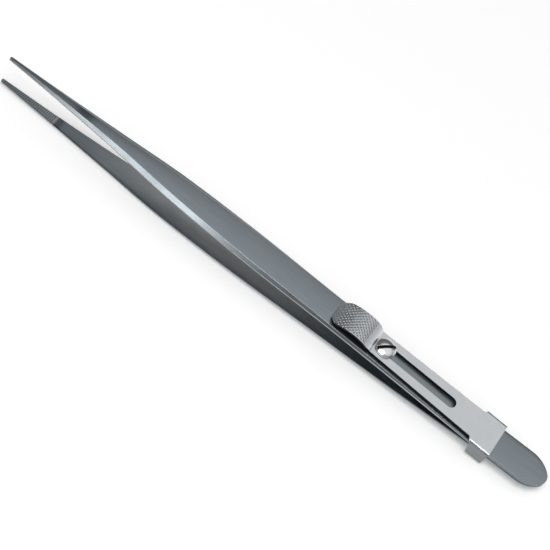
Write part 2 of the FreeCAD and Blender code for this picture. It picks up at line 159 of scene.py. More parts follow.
# How much brighter or darker the inner faces are at a reach: brighter over the grip, a painted light
# where the inner faces lie in each other's shade, darker towards the jaws, and darkest in a band just
# behind the teeth.
INNER_TONE_AND_PAINTED_LIGHT = np.array([
    (38.0, 0.0),
    (58.0, 0.35),
    (80.0, 0.35),
    (SHOULDER_REACH, 0.22),
    (SHOULDER_REACH + 14, 0.08),
    (JAW_REACH - 8, -0.2),
    (JAW_REACH - 2.6, -0.25),
    (JAW_REACH - 2.1, -0.6),
    (JAW_REACH - 0.3, -0.6),
    (JAW_REACH, 0.25),
    (TIP_REACH, 0.0),
])
# The same for the outer faces: an even grey that darkens over the neck and the jaws, with a darker
# stretch behind the teeth.
OUTER_TONE = np.array([
    (SHOULDER_REACH, 0.0),
    (NECK_REACH, -0.1),
    (JAW_REACH - 9.5, -0.25),
    (JAW_REACH - 7.4, -0.7),
    (JAW_REACH - 5, -0.75),
    (JAW_REACH - 3, -0.4),
    (TIP_REACH, -0.4),
])

# Slide, a sheet-metal stamping. The rub gap is how high its strip stands off the upper blade.
SHEET_STOCK = 0.55
SLIDE_RUB_GAP = 0.45
CLIP_REAR = 5.3
STRIP_HALF_WIDTH = 4.2
CREST_REACH = 43.0
CREST_RISE = 1.65
ARCH_FRONT_RUN = 7.1
ARCH_REAR_RUN = 4.8
LIP_DIP = 0.5
PAD_WIDTH = 7.9
PAD_CORNER = 2.4

# Knurl of the pad: its diamonds, and the share of the pitch that a groove takes.
KNURL_PITCH = 0.72
KNURL_DEPTH = 0.11
GROOVE_SHARE = 0.8
# The skin that carries it: how far it stays off the pad's front and sides, how far it runs rearwards
# past the crest, and how far its grooves and its underside lie below the sheet's outer face.
KNURL_FRONT_GAP = 0.12
KNURL_SIDE_GAP = 0.08
KNURL_REAR_RUN = 2.6
KNURL_SINK = 0.03
KNURL_UNDERSIDE = 0.25
# The width over which the relief fades at the skin's rim, and the points of its grid.
KNURL_FADE = 0.15
KNURL_ROWS = 190
KNURL_COLUMNS = 150

# Guide screw.
SCREW_REACH = 35.3
HEAD_TOP = 1.8
DRIVER_WIDTH = 0.8
DRIVER_DEPTH = 0.6
DRIVER_TURN = math.radians(-47)
DRIVER_ROOM = 0.02

# Softened edges of the slide and the screw.
SLIDE_EDGE = 0.13
SCREW_EDGE = 0.08
EDGE_SEGMENTS = 3
EDGE_ANGLE = 40.0

# Points closer than the first are merged, edges shorter than the second are dropped, and facets that
# bend less than the angle are made one. The last two are the angles over which an edge of a blade or of
# the knurl stays sharp. Angles are in degrees.
MERGE_DISTANCE = 0.002
LEAST_DISTANCE = 0.0002
FLAT_ANGLE = 0.6
BLADE_SHARPNESS = 38.0
KNURL_SHARPNESS = 60.0

# Sorting of the slide's faces. The first four are parts of a face's unit normal: upwards, which tells
# walls from flats, rearwards for the rear edge, and sideways for the clip's ears and its far fold. The
# next two are how far past the strip's rim the strip's own walls end and the clip's ears begin.
STEEP = 0.5
REARWARD = 0.9
EAR_SIDEWARD = 0.7
FOLD_SIDEWARD = 0.2
STRIP_ROOM = 0.1
EAR_ROOM = 1.0
# The place of each material among a piece's materials: the polished plate, and the plate with dark or
# grey painted shade.
POLISHED = 0
PAINTED_DARK_SHADE = 1
PAINTED_GREY_SHADE = 2


def joint(name):
    """One of the frame's joints, by name."""
    return next(item for item in frame["joints"] if item["name"] == name)


# The strip is straight. Lowered by its gap, it would run from the butt's outer face at the clip's rear
# end and touch the bend at touch_reach, which gives its slope against the plane where the blades meet.
# The frame's travel axis then says how that plane leans as the part lies. In the blades' and the
# strip's own axes, x points rearwards and y to the far side.
stock_slope = (BELLY_STOCK - BUTT_STOCK) / BELLY_REACH
start_slope = stock_slope + ROOT_SLOPE
touch_reach = math.sqrt(CLIP_REAR ** 2 + start_slope * CLIP_REAR / SLOPE_LOSS) - CLIP_REAR
strip_angle = math.atan(start_slope - 2 * SLOPE_LOSS * touch_reach)
travel_axis = joint("lock_travel")["axis"]
rest_lean = math.asin(travel_axis[2]) - strip_angle
pivot = Vector(joint("blade_squeeze")["pos_m"])
blades_to_world = (
    Matrix.Translation(pivot)
    @ Matrix.Rotation(rest_lean, 4, "Y")
    @ Matrix.Translation(Vector((PIVOT_REACH * MM, 0, 0)))
)
strip_to_world = (
    blades_to_world
    @ Matrix.Translation(Vector((CLIP_REAR * MM, 0, (BUTT_STOCK + SLIDE_RUB_GAP) * MM)))
    @ Matrix.Rotation(strip_angle, 4, "Y")
)


# Meshes.

def new_piece(name, points, faces, place):
    """A mesh object at the origin from points in millimetres, moved by a matrix into the part's frame."""
    mesh = bpy.data.meshes.new(name)
    turn = np.array(place.to_3x3())
    shift = np.array(place.to_translation())
    mesh.from_pydata((points * MM) @ turn.T + shift, [], faces)
    mesh.validate()
    piece = bpy.data.objects.new(name, mesh)
    bpy.context.scene.collection.objects.link(piece)
    return piece


def grid_faces(rows, columns, closed):
    """Quads between neighbouring rows of a grid, whose rows are closed rings if closed is true."""
    count = columns if closed else columns - 1
    row, column = np.meshgrid(np.arange(rows - 1), np.arange(count), indexing="ij")
    following = (column + 1) % columns
    quads = np.stack([
        row * columns + column,
        row * columns + following,
        (row + 1) * columns + following,
        (row + 1) * columns + column,
    ], axis=-1)
    return quads.reshape(-1, 4)


def weld_and_smooth(piece, sharpness):
    """Merge doubled points, point the faces outwards and smooth all but the sharp edges."""
    shape = bmesh.new()
    shape.from_mesh(piece.data)
    bmesh.ops.remove_doubles(shape, verts=shape.verts, dist=MERGE_DISTANCE * MM)
    bmesh.ops.dissolve_degenerate(shape, dist=LEAST_DISTANCE * MM, edges=shape.edges)
    bmesh.ops.recalc_face_normals(shape, faces=shape.faces)
    for face in shape.faces:
        face.smooth = True
    limit = math.radians(sharpness)
    for edge in shape.edges:
        edge.smooth = len(edge.link_faces) == 2 and edge.calc_face_angle() < limit
    shape.to_mesh(piece.data)
    shape.free()


# Blades.

def spread_at(reach):
    """Height of the inner face over the meeting plane.

    The weld is flat, a long arc follows whose slope eases from root to grip, the grip is straight,
    and a second arc from shoulder to jaw eases the slope to nothing.
    """
    in_bend = np.clip(reach, 0, BEND_LENGTH)
    in_grip = np.clip(reach, BEND_LENGTH, JAW_REACH) - BEND_LENGTH
    in_neck = np.clip(reach, SHOULDER_REACH, JAW_REACH) - SHOULDER_REACH
    bend = ROOT_SLOPE * in_bend - SLOPE_LOSS * in_bend ** 2
    return bend + GRIP_SLOPE * in_grip - NECK_LOSS * in_neck ** 2


def stock_at(reach):
    """Thickness of the metal: it swells evenly to the belly and thins evenly to the tip."""
    return np.interp(reach, [0, BELLY_REACH, TIP_REACH], [BUTT_STOCK, BELLY_STOCK, TIP_STOCK])


def through_sections(reach, values):
    """A smooth curve through the sections: cubic pieces, level at the weld, whose other slopes come
    from the neighbours.
    """
    places = SECTIONS[:, 0]
    slopes = np.gradient(values, places)
    slopes[0] = 0.0
    index = np.clip(np.searchsorted(places, reach, side="right") - 1, 0, len(places) - 2)
    span = places[index + 1] - places[index]
    share = np.clip((reach - places[index]) / span, 0, 1)
    start = 2 * share ** 3 - 3 * share ** 2 + 1
    finish = 1 - start
    lead = share ** 3 - 2 * share ** 2 + share
    lag = share ** 3 - share ** 2
    return (
        start * values[index] + finish * values[index + 1]
        + span * (lead * slopes[index] + lag * slopes[index + 1])
    )


def butt_half_width(reach, half):
    """Half width at the round butt end: two long side arcs that run into one nose arc."""
    rise = BUTT_ROUND_LENGTH
    nose = BUTT_NOSE_RADIUS
    side = ((rise - nose) ** 2 + half ** 2 - nose ** 2) / (2 * (half - nose))
    along = np.clip(-reach - (WELD_LENGTH - rise), 0, rise)
    meet = (rise - nose) * side / (side - nose)
    on_side = half - side + np.sqrt(np.maximum(side ** 2 - along ** 2, 0))
    on_nose = np.sqrt(np.maximum(nose ** 2 - (along - (rise - nose)) ** 2, 0))
    return np.where(along < meet, on_side, on_nose)


def blade_widths(reach):
    """Half width and bevel: smooth through the sections, round at the butt, a half circle at the tip."""
    half = through_sections(reach, SECTIONS[:, 1] / 2)
    half = np.where(reach < BUTT_ROUND_LENGTH - WELD_LENGTH, butt_half_width(reach, half), half)
    into_tip = np.clip(reach - (TIP_REACH - TIP_ROUND), 0, TIP_ROUND)
    nose = np.where(into_tip > 0, np.sqrt(TIP_ROUND ** 2 - into_tip ** 2), half)
    half = np.maximum(np.minimum(half, nose), LEAST_HALF_WIDTH)
    bevel = np.minimum(through_sections(reach, SECTIONS[:, 2]), MOST_BEVEL * half)
    return half, bevel


def tooth_cut(reach, stagger):
    """Depth of the cross-cut teeth: V grooves at one pitch, with a narrow flat between them.

    The stagger moves them all rearwards.
    """
    first = TIP_REACH - TOOTH_SETBACK - stagger
    count = math.floor((JAW_LENGTH - TOOTH_SETBACK) / TOOTH_PITCH)
    place = (first - reach) / TOOTH_PITCH
    inside = (place > -0.5) & (place < count - 0.5)
    off_centre = np.abs(place - np.round(place)) * TOOTH_PITCH
    cut = TOOTH_DEPTH * np.clip(1 - off_centre / ((TOOTH_PITCH - TOOTH_LAND) / 2), 0, 1)
    return np.where(inside, cut, 0.0)


def blade_reaches():
    """Stations along a blade from butt to tip: close at both round ends and over the teeth."""
    turn = np.linspace(0, math.pi / 2, BUTT_STATIONS)
    butt = SKIN_INSET - WELD_LENGTH + BUTT_ROUND_LENGTH * (1 - np.cos(turn))
    weld = np.linspace(BUTT_ROUND_LENGTH - WELD_LENGTH, -WELD_GAP, WELD_STATIONS)
    free = np.linspace(0.0, JAW_REACH - JAW_GAP, FREE_STATIONS)
    jaw = np.arange(JAW_REACH, TIP_REACH - TIP_ROUND, TOOTH_PITCH / STATIONS_PER_TOOTH)
    tip_turn = np.linspace(0, math.pi / 2, TIP_STATIONS)
    tip = TIP_REACH - TIP_ROUND * (1 - np.sin(tip_turn))
    return np.unique(np.round(np.concatenate([butt, weld, free, jaw, tip]), REACH_DIGITS))


def rounded_section(corners):
    """Rings of a six-sided section with softened corners, one ring for each station.

    corners has the shape (stations, corners, 2). Each corner is a quadratic curve that leaves its two
    sides at the corner's cut length, and each side gets its run of points between those curves.
    The second result says, with one value for each point of a ring, where the blade is worn bright by
    rubbing and carries a painted highlight.
    """
    rings = []
    marks = []
    count = corners.shape[1]
    for index in range(count):
        here = corners[:, index]
        into = corners[:, index - 1] - here
        after = corners[:, (index + 1) % count]
        out = after - here
        into_length = np.linalg.norm(into, axis=-1, keepdims=True)
        out_length = np.linalg.norm(out, axis=-1, keepdims=True)
        cut = np.minimum(CORNER_CUTS[index], MOST_CUT * np.minimum(into_length, out_length))
        first = here + into / np.maximum(into_length, TINY) * cut
        last = here + out / np.maximum(out_length, TINY) * cut
        for share in np.linspace(0, 1, CORNER_POINTS):
            left = 1 - share
            rings.append(left ** 2 * first + 2 * share * left * here + share ** 2 * last)
            marks.append(RUB_HIGHLIGHT_CORNERS[index])
        next_cut = np.minimum(CORNER_CUTS[(index + 1) % count], MOST_CUT * out_length)
        stop = after - out / np.maximum(out_length, TINY) * next_cut
        for share in SIDE_RUNS[index]:
            rings.append(last + (stop - last) * share)
            marks.append(RUB_HIGHLIGHT_SIDES[index])
    return np.stack(rings, axis=1), np.array(marks, dtype=float)


def blade_tone(reach, section, half, edge, outer, rub_and_highlight):
    """How much brighter or darker than plain satin each point of a blade is.

    It adds the rubbing wear and painted highlight of the free edges, the painted light and darker
    bands of the inner faces, the darker bands of the outer faces, the darkening of the tip and the
    painted shade of the rims.
    """
    free = np.clip(reach / FULL_RUB_HIGHLIGHT_REACH, 0, 1)[:, None]
    inner = section[..., 1] < INNER_SKIN
    # Painted light over the grip's inner faces, and darker bands towards the jaws.
    inner_tone_and_painted_light = np.interp(reach, INNER_TONE_AND_PAINTED_LIGHT[:, 0], INNER_TONE_AND_PAINTED_LIGHT[:, 1])[:, None]
    outer_tone = np.interp(reach, OUTER_TONE[:, 0], OUTER_TONE[:, 1])[:, None]
    in_jaw = np.clip((reach - JAW_REACH) / JAW_LENGTH, 0, 1)[:, None]
    # Painted shade: a dark line along the far rim of each outer face and the near rim of each inner face.
    towards_rim = np.where(inner, -section[..., 0], section[..., 0]) / half[:, None]
    rim = np.clip((towards_rim - PAINTED_RIM_START) / (1 - PAINTED_RIM_START), 0, 1)
    rim = np.where(inner | (section[..., 1] > edge[:, None] - BEVEL_SKIN), rim, 0)
    return (
        rub_and_highlight * free + np.where(inner, inner_tone_and_painted_light, 0) + np.where(outer, outer_tone, 0)
        - TIP_DARKENING * in_jaw - PAINTED_RIM_SHADE * rim
    )


def make_blade(name, flip, edge_rub_highlight):
    """One blade: six-sided bevelled sections carried from the round butt end to the tip.

    The outer face is crowned: it falls towards its edges with the square of the distance from its
    middle. flip is 1 for the upper blade and -1 for the lower one, whose teeth are half a pitch off.
    The last argument says how bright the free edges are, from 0 to 1: rubbing wear and a painted
    highlight.
    """
    reach = blade_reaches()
    half, bevel = blade_widths(reach)
    cut = tooth_cut(reach, 0.0 if flip > 0 else TOOTH_PITCH / 2)
    crown = CROWN * half / half.max()
    edge = np.maximum(through_sections(reach, SECTIONS[:, 3]) - crown, cut + LEAST_EDGE)
    shoulder = stock_at(reach) - SKIN_INSET - crown
    corners = np.stack([
        np.stack([-half, cut], -1),
        np.stack([half, cut], -1),
        np.stack([half, edge], -1),
        np.stack([half - bevel, shoulder], -1),
        np.stack([bevel - half, shoulder], -1),
        np.stack([-half, edge], -1),
    ], axis=1)
    section, on_edge = rounded_section(corners)
    across = section[..., 0] / (half - bevel)[:, None]
    outer = section[..., 1] > shoulder[:, None] - OUTER_SKIN
    section[..., 1] += np.where(outer, crown[:, None] * np.clip(1 - across ** 2, 0, 1), 0)
    rows, columns = section.shape[:2]
    points = np.empty((rows, columns, 3))
    points[..., 0] = -reach[:, None]
    points[..., 1] = section[..., 0]
    points[..., 2] = flip * (spread_at(reach)[:, None] + section[..., 1])
    last = (rows - 1) * columns
    caps = [tuple(range(columns)), tuple(range(last, last + columns))]
    quads = [tuple(quad) for quad in grid_faces(rows, columns, closed=True)]
    piece = new_piece(name, points.reshape(-1, 3), quads + caps, blades_to_world)
    tone = blade_tone(reach, section, half, edge, outer, edge_rub_highlight * on_edge)
    rub_and_painted_light = piece.data.attributes.new("rub_and_painted_light", "FLOAT", "POINT")
    rub_and_painted_light.data.foreach_set("value", tone.ravel())
    weld_and_smooth(piece, BLADE_SHARPNESS)
    return piece


# Slide and screw.

def dressed_copy(node, name, edge_width):
    """A merged copy of a CAD node, with softened edges and evenly shaded flats."""
    source = frame["nodes"][node]
    piece = bpy.data.objects.new(name, source.data.copy())
    piece.data.materials.clear()
    bpy.context.scene.collection.objects.link(piece)
    shape = bmesh.new()
    shape.from_mesh(piece.data)
    bmesh.ops.remove_doubles(shape, verts=shape.verts, dist=MERGE_DISTANCE * MM)
    bmesh.ops.dissolve_limit(
        shape, angle_limit=math.radians(FLAT_ANGLE), verts=shape.verts, edges=shape.edges
    )
    for face in shape.faces:
        face.smooth = True
    shape.to_mesh(piece.data)
    shape.free()
    soften = piece.modifiers.new("soft_edges", "BEVEL")
    soften.width = edge_width * MM
    soften.segments = EDGE_SEGMENTS
    soften.limit_method = "ANGLE"
    soften.angle_limit = math.radians(EDGE_ANGLE)
    soften.use_clamp_overlap = True
    shade_flats = piece.modifiers.new("even_flats", "WEIGHTED_NORMAL")
    shade_flats.mode = "FACE_AREA"
    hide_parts(node)
    return piece


def faces_on_strip(mesh):
    """Every face's normal and centre in the strip's frame, the centre in millimetres."""
    count = len(mesh.polygons)
    normals = np.empty(count * 3)
    centres = np.empty(count * 3)
    mesh.polygons.foreach_get("normal", normals)
    mesh.polygons.foreach_get("center", centres)
    turn = np.array(strip_to_world.to_3x3())
    shift = np.array(strip_to_world.to_translation())
    return normals.reshape(-1, 3) @ turn, (centres.reshape(-1, 3) - shift) @ turn / MM


def mark_slide_faces(piece):
    """Sort the slide's faces.

    The underside and the strip's cut edges get a painted dark shade, apart from the bright rear edge.
    The clip's sides and its far fold get a painted grey shade, and all else is polished.
    """
    normals, centres = faces_on_strip(piece.data)
    rearward, sideward, upward = normals.T
    side = centres[:, 1]
    off_middle = np.abs(side)
    underside = upward < -STEEP
    strip_walls = (np.abs(upward) < STEEP) & (off_middle < STRIP_HALF_WIDTH + STRIP_ROOM)
    rear_edge = rearward > REARWARD
    ears = (np.abs(sideward) > EAR_SIDEWARD) & (off_middle > STRIP_HALF_WIDTH + EAR_ROOM)
    far_fold = (sideward > FOLD_SIDEWARD) & (side > STRIP_HALF_WIDTH)
    # The ears and the far fold take the painted grey shade.
    kinds = np.where(ears | far_fold, PAINTED_GREY_SHADE, POLISHED)
    # The underside and the strip's cut walls take the painted dark shade.
    kinds = np.where(underside | (strip_walls & ~rear_edge), PAINTED_DARK_SHADE, kinds)
    piece.data.polygons.foreach_set("material_index", kinds.astype(np.int32))


def mark_screw_faces(piece):
    """Sort the screw's faces: the driver slot's floor and walls get a painted dark shade, all else is
    polished.
    """
    centres = faces_on_strip(piece.data)[1]
    from_axis = centres[:, 0] + SCREW_REACH
    across = from_axis * math.cos(DRIVER_TURN) + centres[:, 1] * math.sin(DRIVER_TURN)
    in_slot = np.abs(across) < DRIVER_WIDTH / 2 + DRIVER_ROOM
    in_slot &= centres[:, 2] > HEAD_TOP - DRIVER_DEPTH - DRIVER_ROOM
    kinds = np.where(in_slot, PAINTED_DARK_SHADE, POLISHED)
    piece.data.polygons.foreach_set("material_index", kinds.astype(np.int32))


def arch_surface(along, offset):
    """A point of the arched pad, offset from its underside, from its distance along the strip.

    Two arcs meet level at the crest: a long one down to the lip, a short one down to the foot.
    """
    drop = CREST_RISE + LIP_DIP
    front = (ARCH_FRONT_RUN ** 2 + drop ** 2) / (2 * drop)
    rear = (ARCH_REAR_RUN ** 2 + CREST_RISE ** 2) / (2 * CREST_RISE)
    radius = np.where(along < -CREST_REACH, front, rear)
    sine = (along + CREST_REACH) / radius
    x = -CREST_REACH + (radius + offset) * sine
    z = CREST_RISE - radius + (radius + offset) * np.sqrt(1 - sine ** 2)
    return x, z


def knurl_relief(x, y):
    """Height of the knurl from 0 to 1: two families of diagonal V grooves leave small diamonds.

    Each groove is deepest on its line and rises evenly to the diamonds' flat tops. Where two cross,
    the deeper one counts.
    """
    depths = []
    for lean in (1, -1):
        place = (x + lean * y) / (math.sqrt(2) * KNURL_PITCH)
        off_line = np.abs(place - np.round(place)) * 2
        depths.append(np.clip(1 - off_line / GROOVE_SHARE, 0, 1))
    return 1 - np.maximum(*depths)


def make_knurl(name):
    """The knurled skin of the pad, a thin closed sheet that follows the arch and its round corners."""
    nose = -(CREST_REACH + ARCH_FRONT_RUN)
    along = np.linspace(nose + KNURL_FRONT_GAP, KNURL_REAR_RUN - CREST_REACH, KNURL_ROWS)
    in_corner = np.clip(PAD_CORNER - (along - nose), 0, PAD_CORNER)
    half = PAD_WIDTH / 2 - PAD_CORNER + np.sqrt(PAD_CORNER ** 2 - in_corner ** 2) - KNURL_SIDE_GAP
    x = np.repeat(along[:, None], KNURL_COLUMNS, axis=1)
    y = half[:, None] * np.linspace(-1, 1, KNURL_COLUMNS)[None, :]
    from_ends = np.minimum(x - along[0], along[-1] - x)
    from_rim = np.minimum(from_ends, half[:, None] - np.abs(y))
    relief = KNURL_DEPTH * knurl_relief(x, y) * np.clip(from_rim / KNURL_FADE, 0, 1)
    top_x, top_z = arch_surface(x, SHEET_STOCK - KNURL_SINK + relief)
    low_x, low_z = arch_surface(x, np.full_like(x, SHEET_STOCK - KNURL_UNDERSIDE))
    top = np.stack([top_x, y, top_z], -1).reshape(-1, 3)
    low = np.stack([low_x, y, low_z], -1).reshape(-1, 3)
    rows, columns = x.shape
    count = rows * columns
    sheet = grid_faces(rows, columns, closed=False)
    rim = np.concatenate([
        np.arange(columns - 1),
        np.arange(columns - 1, count - 1, columns),
        np.arange(count - 1, count - columns, -1),
        np.arange(count - columns, 0, -columns),
    ])
    following = np.roll(rim, -1)
    walls = np.stack([rim, following, following + count, rim + count], -1)
    quads = np.concatenate([sheet, sheet[:, ::-1] + count, walls])
    faces = [tuple(quad) for quad in quads]
    piece = new_piece(name, np.concatenate([top, low]), faces, strip_to_world)
    weld_and_smooth(piece, KNURL_SHARPNESS)
    return piece


# Materials.

# Numbers of the colour sockets of a Mix node, which share their names with its other sockets.
MIX_FIRST = 6
MIX_SECOND = 7
MIX_RESULT = 2

# Between these values lies nearly all of a noise pattern.
NOISE_LOW = 0.3
NOISE_HIGH = 0.7

# Satin lines: real ones are some hundredths of a millimetre apart, and these are drawn coarser, so
# that they show. The cloudiness comes from the belt's uneven pressure.
LINE_LENGTH = 16.7
LINE_SPACING = 0.385
LINE_RELIEF = 0.03
LINE_STRENGTH = 0.12
SATIN_CLOUD = 6.25
SATIN_SMOOTHEST = 0.33
SATIN_ROUGHEST = 0.4

# Size and relief of the handling marks on the plate.
PLATE_CLOUD = 4.17
PLATE_RELIEF = 0.05
PLATE_STRENGTH = 0.04

# Size of the screw's faint cloudiness, and its roughness.
SCREW_CLOUD = 1.11
SCREW_ROUGHNESS = 0.12


def linear(hex_colour):
    """A linear colour from an sRGB hex value, by the sRGB curve and its own numbers."""
    channels = [int(hex_colour[i:i + 2], 16) / 255 for i in (1, 3, 5)]
    values = [c / 12.92 if c <= 0.04045 else ((c + 0.055) / 1.055) ** 2.4 for c in channels]
    return (*values, 1.0)


def per_metre(size):
    """A pattern's scale from the real size of its parts in millimetres."""
    return 1 / (size * MM)


def add(tree, kind, inputs, **settings):
    """A node with its settings, whose inputs are set to values or linked to other nodes' outputs."""
    node = tree.nodes.new(kind)
    for key, value in settings.items():
        setattr(node, key, value)
    for key, value in inputs.items():
        if isinstance(value, bpy.types.NodeSocket):
            tree.links.new(value, node.inputs[key])
        else:
            node.inputs[key].default_value = value
    return node


def bare_metal(name):
    """A bare metal: its shader, and the object coordinates in which its pattern lies."""
    material = bpy.data.materials.new(name)
    material.use_nodes = True
    tree = material.node_tree
    tree.nodes.clear()
    shader = add(tree, "ShaderNodeBsdfPrincipled", {"Metallic": 1.0})
    add(tree, "ShaderNodeOutputMaterial", {"Surface": shader.outputs["BSDF"]})
    coordinates = add(tree, "ShaderNodeTexCoord", {}).outputs["Object"]
    return material, tree, shader, coordinates


def satin_stainless():
    """Stainless steel, ground and then satin finished.

    It gives a soft grey sheen with fine lengthwise lines. A point attribute turns it brighter where
    the edges are worn by rubbing and carry a painted highlight and over the painted light of the inner
    faces, and darker in the painted shade of the rims and in the darker bands towards the tip.
    """
    material, tree, shader, coordinates = bare_metal("satin_stainless_steel")
    stretch = (per_metre(LINE_LENGTH), per_metre(LINE_SPACING), per_metre(LINE_SPACING))
    stretched = add(tree, "ShaderNodeMapping", {"Vector": coordinates, "Scale": stretch})
    lines = add(tree, "ShaderNodeTexNoise", {
        "Vector": stretched.outputs["Vector"], "Scale": 1.0, "Detail": 3.0, "Roughness": 0.6,
    }).outputs["Fac"]
    ground = add(tree, "ShaderNodeMix", {
        "Factor": lines, MIX_FIRST: linear("#7b8287"), MIX_SECOND: linear("#8c9398"),
    }, data_type="RGBA")
    # Rubbing wear, painted highlight, painted light and painted shade of the blades: above nought the
    # attribute mixes towards the bright colour, below nought towards the dark one.
    rub_and_painted_light = add(tree, "ShaderNodeAttribute", {}, attribute_name="rub_and_painted_light").outputs["Fac"]
    brightened = add(tree, "ShaderNodeMix", {
        "Factor": rub_and_painted_light, MIX_FIRST: ground.outputs[MIX_RESULT], MIX_SECOND: linear("#d8d6d3"),
    }, data_type="RGBA")
    darkening_and_painted_shade = add(tree, "ShaderNodeMath", {0: rub_and_painted_light, 1: -1.0}, operation="MULTIPLY")
    darkened_and_shaded = add(tree, "ShaderNodeMix", {
        "Factor": darkening_and_painted_shade.outputs["Value"],
        MIX_FIRST: brightened.outputs[MIX_RESULT],
        MIX_SECOND: linear("#2b2e31"),
    }, data_type="RGBA")
    cloud = add(tree, "ShaderNodeTexNoise", {
        "Vector": coordinates, "Scale": per_metre(SATIN_CLOUD), "Detail": 2.0,
    })
    rough = add(tree, "ShaderNodeMapRange", {
        "Value": cloud.outputs["Fac"], "From Min": NOISE_LOW, "From Max": NOISE_HIGH,
        "To Min": SATIN_SMOOTHEST, "To Max": SATIN_ROUGHEST,
    })
    bump = add(tree, "ShaderNodeBump", {
        "Height": lines, "Strength": LINE_STRENGTH, "Distance": LINE_RELIEF * MM,
    })
    tree.links.new(darkened_and_shaded.outputs[MIX_RESULT], shader.inputs["Base Color"])
    tree.links.new(rough.outputs["Result"], shader.inputs["Roughness"])
    tree.links.new(bump.outputs["Normal"], shader.inputs["Normal"])
    return material


def nickel_plate(name, dark, light, smoothest, roughest):
    """Spring sheet under nickel plate, with faint wandering handling marks. With dark colours it also
    makes the painted shade of cut edges, undersides and the clip's sides.
    """
    material, tree, shader, coordinates = bare_metal(name)
    cloud = add(tree, "ShaderNodeTexNoise", {
        "Vector": coordinates, "Scale": per_metre(PLATE_CLOUD), "Detail": 5.0, "Roughness": 0.6,
    }).outputs["Fac"]
    shade = add(tree, "ShaderNodeMix", {
        "Factor": cloud, MIX_FIRST: linear(dark), MIX_SECOND: linear(light),
    }, data_type="RGBA")
    rough = add(tree, "ShaderNodeMapRange", {
        "Value": cloud, "From Min": NOISE_LOW, "From Max": NOISE_HIGH,
        "To Min": smoothest, "To Max": roughest,
    })
    bump = add(tree, "ShaderNodeBump", {
        "Height": cloud, "Strength": PLATE_STRENGTH, "Distance": PLATE_RELIEF * MM,
    })
    tree.links.new(shade.outputs[MIX_RESULT], shader.inputs["Base Color"])
    tree.links.new(rough.outputs["Result"], shader.inputs["Roughness"])
    tree.links.new(bump.outputs["Normal"], shader.inputs["Normal"])
    return material


def turned_steel():
    """Turned and polished steel: a bright, nearly even face with a faint cloudiness."""
    material, tree, shader, coordinates = bare_metal("turned_steel_screw")
    cloud = add(tree, "ShaderNodeTexNoise", {
        "Vector": coordinates, "Scale": per_metre(SCREW_CLOUD), "Detail": 2.0,
    })
    shade = add(tree, "ShaderNodeMix", {
        "Factor": cloud.outputs["Fac"], MIX_FIRST: linear("#caccce"), MIX_SECOND: linear("#dedfe0"),
    }, data_type="RGBA")
    tree.links.new(shade.outputs[MIX_RESULT], shader.inputs["Base Color"])
    shader.inputs["Roughness"].default_value = SCREW_ROUGHNESS
    return material


blade_steel = satin_stainless()
# Polished flats: nearly white, with soft clear reflections.
slide_plate = nickel_plate("polished_nickel_plate", "#b0b5b9", "#d6d9dc", 0.2, 0.32)
# Cut edges, undersides and the driver slot: rough, with a painted shade that makes them almost black
# beside the flats, as in the shade under the strip and the arch and down in the slots.
painted_dark_shade_plate = nickel_plate("sheared_edge_painted_dark_shade", "#1c1d1f", "#2c2e30", 0.35, 0.5)
# Folded sides of the clip and its far fold: rougher nickel plate with a painted shade, an even mid grey.
painted_grey_shade_plate = nickel_plate("nickel_plate_painted_grey_shade", "#7b7f82", "#999c9f", 0.38, 0.5)
# Rolled knurl of the pad: small diamonds with a dull glitter.
knurled_plate = nickel_plate("knurled_nickel_plate", "#7b8084", "#a2a6a9", 0.34, 0.46)
screw_steel = turned_steel()


# Pieces.

def place_piece(piece, body, material):
    """Give a piece its first material, and let it ride on a body if one is named."""
    piece.data.materials.append(material)
    if body:
        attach(piece, body)


# The upper blade's butt stays welded to the lower blade.
upper = make_blade("upper_blade_satin", 1, UPPER_RUB_HIGHLIGHT)
place_piece(upper, None, blade_steel)
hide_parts("upper_blade")
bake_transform(upper)

lower = make_blade("lower_blade_satin", -1, LOWER_RUB_HIGHLIGHT)
place_piece(lower, "lower", blade_steel)
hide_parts("lower_blade")

slide = dressed_copy("lock_slide", "slide_sheet", SLIDE_EDGE)
place_piece(slide, "slide", slide_plate)
slide.data.materials.append(painted_dark_shade_plate)
slide.data.materials.append(painted_grey_shade_plate)
mark_slide_faces(slide)

knurl = make_knurl("pad_knurl")
place_piece(knurl, "slide", knurled_plate)

screw = dressed_copy("guide_screw", "screw_turned", SCREW_EDGE)
place_piece(screw, "upper", screw_steel)
screw.data.materials.append(painted_dark_shade_plate)
mark_screw_faces(screw)


# Stage. Lengths from here on are in metres, apart from the camera's aim and sensor, and angles are in
# degrees. An azimuth counts from the near side towards the right.

FLOOR_REACH = 3.0
FLOOR_GLOW = 0.24

# Surround of the part: dim all round, white low down as the backdrop, and a soft tent of light high
# up. The backdrop's ends are sines of an elevation, and the tent's are cosines of the angle from its
# middle.
SURROUND_LEVEL = 0.17
BACKDROP_TOP = math.sin(math.radians(22))
BACKDROP_FULL = math.sin(math.radians(12))
TENT_LEVEL = 1.0
TENT_AZIMUTH = 145.0
TENT_ELEVATION = 68.0
TENT_EDGE = 0.78
TENT_FULL = 0.955

# Softboxes: name, azimuth, elevation, width, watts. All stand at one distance.
SOFTBOX_DISTANCE = 0.9
SOFTBOXES = (
    ("near_softbox", 0, 78, 0.5, 3.5),
    ("rear_softbox", 128, 22, 0.4, 0.3),
    ("left_softbox", -50, 35, 0.5, 0.8),
    ("right_softbox", 50, 35, 0.5, 0.8),
)

# Camera, fitted to the outline in the photograph. Its aim and its sensor are in millimetres, and its
# focal length and picture width in pixels.
CAMERA_AZIMUTH = 4.62
CAMERA_ELEVATION = 54.54
CAMERA_ROLL = 33.13
CAMERA_DISTANCE = 0.48
CAMERA_AIM = (0.32, 0.22, 4.2)
FOCAL_PIXELS = 1966.0
IMAGE_PIXELS = 550.0
SENSOR_WIDTH = 36.0
CLIP_START = 0.01


